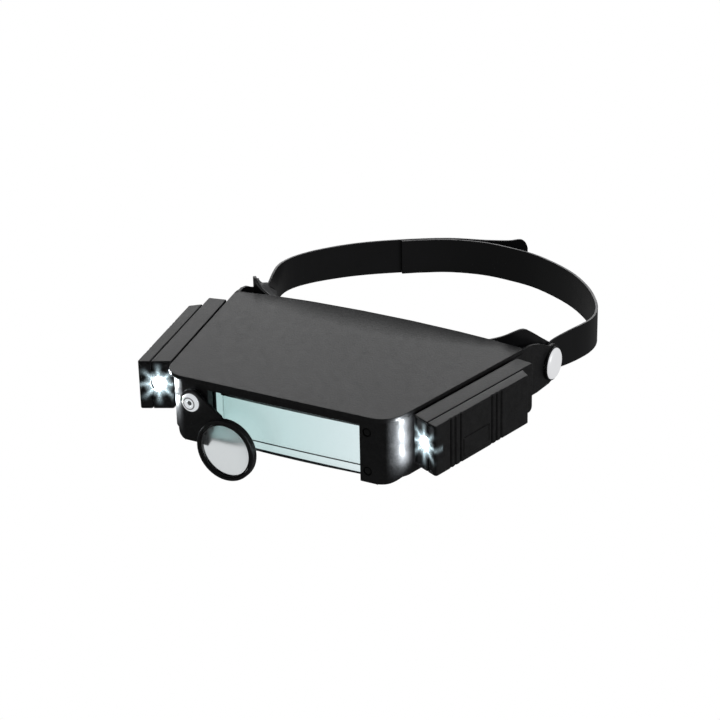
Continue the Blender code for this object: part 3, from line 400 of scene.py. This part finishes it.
def clear_plate(name, plate_colour, right_end_colour=None, haze=0.0):
    """Clear acrylic, evenly tinted or coloured from its left end to its right end, with the slightest haze
    of handling.
    """
    look = Look(name, plate_colour, 0.02, IOR=1.49, Transmission_Weight=1.0)
    if right_end_colour:
        half = LENS_HALF_WIDTH * MM
        look.colours(look.spread(look.along("X"), -half, half, 0.0, 1.0), plate_colour, right_end_colour)
    look.rough(look.noise(18.0, 3.0), haze, haze + 0.04)
    look.bump(look.noise(25.0, 1.0), 0.02, 0.1)
    return look.material


def metal(name, colour, rough_low, rough_high, grain_mm, relief, glow=0.0):
    """Metal with slight variation of gloss and fine wear, brightened by a painted reflection: an even
    emission of light.
    """
    look = Look(name, colour, rough_low, Metallic=1.0, Emission_Strength=glow)
    look.set("Emission Color", (0.93, 0.97, 1.0, 1.0))
    look.colours(look.noise(4.0, 3.0), tuple(0.85 * part for part in colour), colour)
    look.rough(look.noise(1.5, 3.0), rough_low, rough_high)
    look.bump(look.noise(grain_mm, 2.0), relief, 0.4)
    return look.material


def turned_chrome():
    """Chrome of the loupe's screw, with painted shade in its turned ring and its recess and a painted glow
    outside them.
    """
    colour = (0.95, 0.96, 0.97)
    look = Look("chrome_turned", colour, 0.08, Metallic=1.0)
    radius = look.distance(look.maths("ADD", look.along("X"), -SCREW_X * MM),
                           look.maths("ADD", look.along("Z"), -SCREW_Z * MM))
    off_ring = look.maths("ABSOLUTE", look.maths("ADD", radius, -SCREW_RING * MM), 0.0)
    # Painted shade: dark colour and little glow in the ring and the recess; painted glow elsewhere
    bright = look.maths("MULTIPLY", look.spread(off_ring, 0.1 * MM, 0.5 * MM, 0.0, 1.0),
                        look.spread(radius, (SCREW_RECESS - 0.3) * MM, SCREW_RECESS * MM, 0.0, 1.0))
    look.colours(bright, (0.2, 0.2, 0.21), colour)
    look.set("Emission Color", (0.93, 0.97, 1.0, 1.0))
    look.tree.links.new(look.spread(bright, 0.0, 1.0, 0.05, 0.62), look.shader.inputs["Emission Strength"])
    look.rough(look.noise(1.5, 3.0), 0.08, 0.16)
    look.bump(look.noise(0.6, 2.0), 0.01, 0.4)
    return look.material


def satin_cap():
    """Silver-painted cap, brushed lightly, brightened by a painted glow of white light."""
    # Emission paints a white glow on the cap
    look = Look("silver_cap", (0.8, 0.8, 0.81), 0.35, Metallic=0.3, Emission_Strength=0.56)
    look.set("Emission Color", (0.97, 0.98, 1.0, 1.0))
    look.colours(look.noise(3.0, 3.0), (0.8, 0.8, 0.81), (0.94, 0.94, 0.95))
    look.rough(look.noise(1.0, 3.0), 0.28, 0.45)
    look.bump(look.noise(0.3, 2.0), 0.02, 0.3)
    return look.material


def glowing(name, colour, strength):
    """A lit LED's epoxy."""
    look = Look(name, (0.95, 0.98, 1.0), 0.08, Emission_Strength=strength)
    look.set("Emission Color", (*colour, 1.0))
    look.rough(look.noise(0.6, 2.0), 0.04, 0.12)
    look.bump(look.noise(0.4, 1.0), 0.01, 0.2)
    return look.material


def battery_film():
    """Printed film round a cell: dark, half gloss, unevenly inked."""
    look = Look("battery_wrap", (0.05, 0.06, 0.08), 0.3, Metallic=0.6)
    look.colours(look.noise(6.0, 2.0), (0.04, 0.05, 0.07), (0.09, 0.1, 0.13))
    look.rough(look.noise(2.0, 2.0), 0.22, 0.38)
    look.bump(look.noise(0.5, 2.0), 0.01, 0.3)
    return look.material


def board_green():
    """Solder mask over copper."""
    look = Look("circuit_board", (0.02, 0.14, 0.06), 0.35)
    look.colours(look.cells(1.6), (0.015, 0.1, 0.04), (0.04, 0.22, 0.1))
    look.rough(look.noise(0.8, 2.0), 0.28, 0.45)
    look.bump(look.cells(0.9), 0.05, 0.4)
    return look.material


LOOKS = {
    "black_plastic": grained_black("black_plastic", *GRAIN),
    "black_screw": grained_black("black_screw", *SCREW_GRAIN),
    "strap_plastic": smooth_black("strap_plastic", (0.013, 0.013, 0.014), 0.24, 0.36),
    "pad_vinyl": soft_grey(),
    "clear_lens": clear_plate("clear_lens", (0.95, 0.985, 0.985)),
    # Chrome and reflector chrome glow with a painted reflection; the reflector's stands for the LED's light
    # in it
    "chrome": metal("chrome", (0.86, 0.87, 0.88), 0.1, 0.2, 0.6, 0.01, 0.16),
    "reflector_chrome": metal("reflector_chrome", (0.92, 0.93, 0.95), 0.05, 0.12, 0.8, 0.01, 1.6),
    "steel": metal("steel", (0.52, 0.52, 0.53), 0.28, 0.42, 0.25, 0.02),
    "silver_cap": satin_cap(),
    "led_epoxy": glowing("led_epoxy", (0.85, 0.95, 1.0), 30.0),
    "circuit_board": board_green(),
    "battery_wrap": battery_film(),
}

# Nodes whose look differs from their slot's
OWN_LOOKS = {
    "main_lens": clear_plate("clear_lens_plate", LENS_LEFT_END_COLOUR, LENS_RIGHT_END_COLOUR),
    "loupe_lens": clear_plate("loupe_glass", (0.66, 0.69, 0.7), None, 0.24),
    "loupe_screw": turned_chrome(),
}
# The light bodies and battery covers get black plastic with the LED's light painted on their front faces
for side, name in SIDES:
    glow_painted_look = plastic_with_painted_rays(f"plastic_with_painted_rays_{name}", side)
    OWN_LOOKS[f"light_body_{name}"] = glow_painted_look
    OWN_LOOKS[f"battery_cover_{name}"] = glow_painted_look
SLOTS = {part["node"]: part["material_slot"] for part in frame["record"]["subparts"]}


# ---------------------------------------------------------------- rounded pieces from the frame


def rounded_mesh(node, width_mm, segments):
    """A CAD node's shape with rounded edges."""
    bm = bmesh.new()
    bm.from_mesh(NODES[node].data)
    bmesh.ops.remove_doubles(bm, verts=bm.verts, dist=WELD)
    bmesh.ops.dissolve_limit(bm, angle_limit=FLAT_ANGLE, verts=bm.verts, edges=bm.edges)
    edges = [e for e in bm.edges if len(e.link_faces) == 2 and e.calc_face_angle() > SHARP_ANGLE]
    bmesh.ops.bevel(bm, geom=edges, offset=width_mm * MM, offset_type="OFFSET", segments=segments,
                    profile=0.5, affect="EDGES", clamp_overlap=False)
    bmesh.ops.recalc_face_normals(bm, faces=bm.faces)
    return bm


def rounded(node, width_mm, segments=2):
    """A moulded piece in a CAD node's place: its shape with rounded edges."""
    return finished(f"{node}_moulded", rounded_mesh(node, width_mm, segments), node)


def finished(name, bm, node):
    """Make an object of a mesh, in the place of a CAD node, on its body and in its material slot."""
    mesh = bpy.data.meshes.new(name)
    bm.to_mesh(mesh)
    bm.free()
    mesh.shade_smooth()
    mesh.set_sharp_from_angle(angle=SMOOTH_ANGLE)
    piece = bpy.data.objects.new(name, mesh)
    bpy.context.scene.collection.objects.link(piece)
    slot = SLOTS[node]
    mesh.materials.append(OWN_LOOKS.get(node) or LOOKS[slot])
    weighted = piece.modifiers.new("normals", "WEIGHTED_NORMAL")
    weighted.keep_sharp = True
    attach(piece, NODES[node]["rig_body"])
    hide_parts(node)
    return piece


def dress_kept_nodes():
    """Give every CAD node its slot's material."""
    for node, item in NODES.items():
        item.data.materials.clear()
        item.data.materials.append(LOOKS[SLOTS[node]])


# Radius of the rounded edges of each moulded or turned piece
ROUNDING = {
    "visor_shell": 0.45,
    "forehead_band": 0.5,
    "strap_left": 0.4,
    "strap_right": 0.4,
    "loupe_frame": 0.3,
    "light_body_left": 0.65,
    "light_body_right": 0.65,
    "battery_cover_left": 0.65,
    "battery_cover_right": 0.65,
    "lens_retainer_left": 0.2,
    "lens_retainer_right": 0.2,
    "flip_bar": 0.3,
    "switch_left": 0.3,
    "switch_right": 0.3,
    "main_lens": 0.25,
    "flip_lens": 0.25,
    "loupe_lens": 0.1,
    "loupe_screw": 0.12,
    "loupe_retaining_ring": 0.15,
    "pivot_cap_left": 0.2,
    "pivot_cap_right": 0.2,
    "pivot_rim_left": 0.12,
    "pivot_rim_right": 0.12,
    "loupe_nut": 0.2,
    "pivot_nut_left": 0.2,
    "pivot_nut_right": 0.2,
}


def lamp_lights():
    """Small spotlights in front of each light, which spill its light on the visor's front corner."""
    for side, name in SIDES:
        turn = Matrix.Rotation(-side * FLARE, 3, "Z")
        corner = Vector((side * LIGHT_CORNER.x, *LIGHT_CORNER.yz))
        data = bpy.data.lights.new(f"lamp_{name}", "SPOT")
        data.energy = LAMP_POWER
        data.color = (0.9, 0.96, 1.0)
        data.shadow_soft_size = 0.001
        data.spot_size = math.radians(LAMP_CONE)
        data.spot_blend = 1.0
        for number, z in enumerate(LAMP_HEIGHTS):
            place, target = (corner + turn @ Vector((side * a, b, z))
                             for a, b in (LAMP_PLACE, LAMP_TARGET))
            lamp = bpy.data.objects.new(f"lamp_{name}_{number}", data)
            lamp.location = place * MM
            lamp.rotation_euler = (target - place).to_track_quat("-Z", "Y").to_euler()
            bpy.context.scene.collection.objects.link(lamp)


# ---------------------------------------------------------------- forehead pad


def baked(piece):
    """Put what a piece's modifiers make into its mesh."""
    made = bpy.data.meshes.new_from_object(piece.evaluated_get(bpy.context.evaluated_depsgraph_get()))
    piece.modifiers.clear()
    piece.data = made


def largest_part(bm):
    """Keep only the largest connected part of a mesh."""
    left = set(bm.verts)
    parts = []
    while left:
        found, queue = set(), [next(iter(left))]
        while queue:
            vert = queue.pop()
            if vert in found:
                continue
            found.add(vert)
            queue.extend(edge.other_vert(vert) for edge in vert.link_edges)
        left -= found
        parts.append(found)
    parts.sort(key=len)
    bmesh.ops.delete(bm, geom=[vert for part in parts[:-1] for vert in part], context="VERTS")


def cushion_start():
    """The cushion of the CAD pad as an even, smoothed skin; its thin flange falls away."""
    piece = bpy.data.objects.new("cushion", NODES["forehead_pad"].data.copy())
    bpy.context.scene.collection.objects.link(piece)
    voxels = piece.modifiers.new("voxels", "REMESH")
    voxels.mode = "VOXEL"
    voxels.voxel_size = VOXEL
    baked(piece)
    bm = bmesh.new()
    bm.from_mesh(piece.data)
    largest_part(bm)
    for _ in range(3):
        bmesh.ops.smooth_vert(bm, verts=bm.verts, factor=0.5, use_axis_x=True, use_axis_y=True,
                              use_axis_z=True)
    bm.to_mesh(piece.data)
    bm.free()
    return piece


def swell(piece):
    """Swell a skin by a short cloth simulation, only towards the head, never upward and only so far."""
    start = [vert.co.copy() for vert in piece.data.vertices]
    cloth = piece.modifiers.new("swell", "CLOTH")
    cloth.settings.use_pressure = True
    cloth.settings.uniform_pressure_force = PRESSURE
    cloth.settings.effector_weights.gravity = 0.0
    cloth.point_cache.frame_end = SWELL_FRAMES
    for number in range(1, SWELL_FRAMES + 1):
        bpy.context.scene.frame_set(number)
    baked(piece)
    bpy.context.scene.frame_set(1)
    for vert, place in zip(piece.data.vertices, start):
        move = vert.co - place
        inward = Vector((-place.x, HEAD_CENTRE_Y - place.y, 0.0)).normalized()
        away = move.dot(inward)
        if away < 0.0:
            move -= inward * away
        move.z = min(move.z, 0.0)
        if move.length > SWELL_CAP:
            move *= SWELL_CAP / move.length
        vert.co = place + move


def soft_pad():
    """The forehead pad: its flange, and the cushion on it, swollen and then subdivided."""
    piece = cushion_start()
    swell(piece)
    smooth = piece.modifiers.new("smooth", "SUBSURF")
    smooth.levels = smooth.render_levels = 1
    baked(piece)
    bm = rounded_mesh("forehead_pad", PAD_ROUNDING, 2)
    bm.from_mesh(piece.data)
    bpy.data.objects.remove(piece, do_unlink=True)
    finished("forehead_pad_soft", bm, "forehead_pad")


# ---------------------------------------------------------------- whole scene


bpy.context.scene.view_settings.view_transform = "Standard"
make_camera()
make_world()
make_floor()
for studio_light in STUDIO_LIGHTS:
    area_light(*studio_light)
dress_kept_nodes()
for node, width in ROUNDING.items():
    rounded(node, width)
soft_pad()
lamp_lights()
